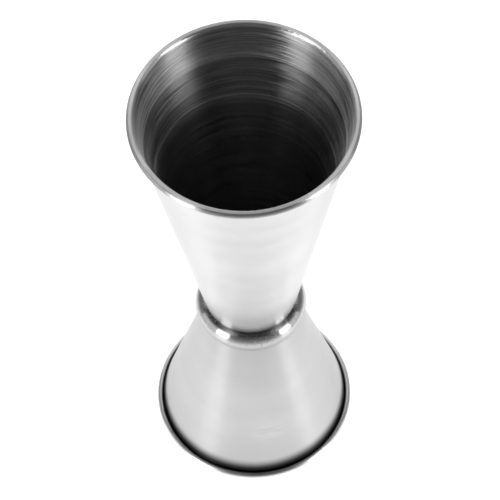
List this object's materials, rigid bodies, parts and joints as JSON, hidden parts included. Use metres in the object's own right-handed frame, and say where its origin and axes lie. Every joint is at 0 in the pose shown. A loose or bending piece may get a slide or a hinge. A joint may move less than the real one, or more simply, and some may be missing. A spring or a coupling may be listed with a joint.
{
  "type": "bar jigger",
  "caption": "Double-ended bar jigger: a tall conical steel measuring cup above a shorter, wider-angled one, with rolled rims and a half-round ring round the waist.",
  "frame": {"origin": "centre of the small cup's mouth, on the surface that its rim stands on", "axes": "+Z along the jigger's axis, from the small cup's mouth to the large cup's mouth; +X and +Y are free, because the jigger is round"},
  "size_m": [0.0474, 0.0474, 0.117],
  "materials": {
    "satin_steel": "satin, brushed round the axis",
    "polished_steel": "bright polished",
    "weld_metal": "as welded, hidden between the bases"
  },
  "bodies": {
    "root": {"large_cup": "satin_steel", "small_cup": "satin_steel", "waist_ring": "polished_steel", "spot_welds": "weld_metal"}
  },
  "joints": []
}
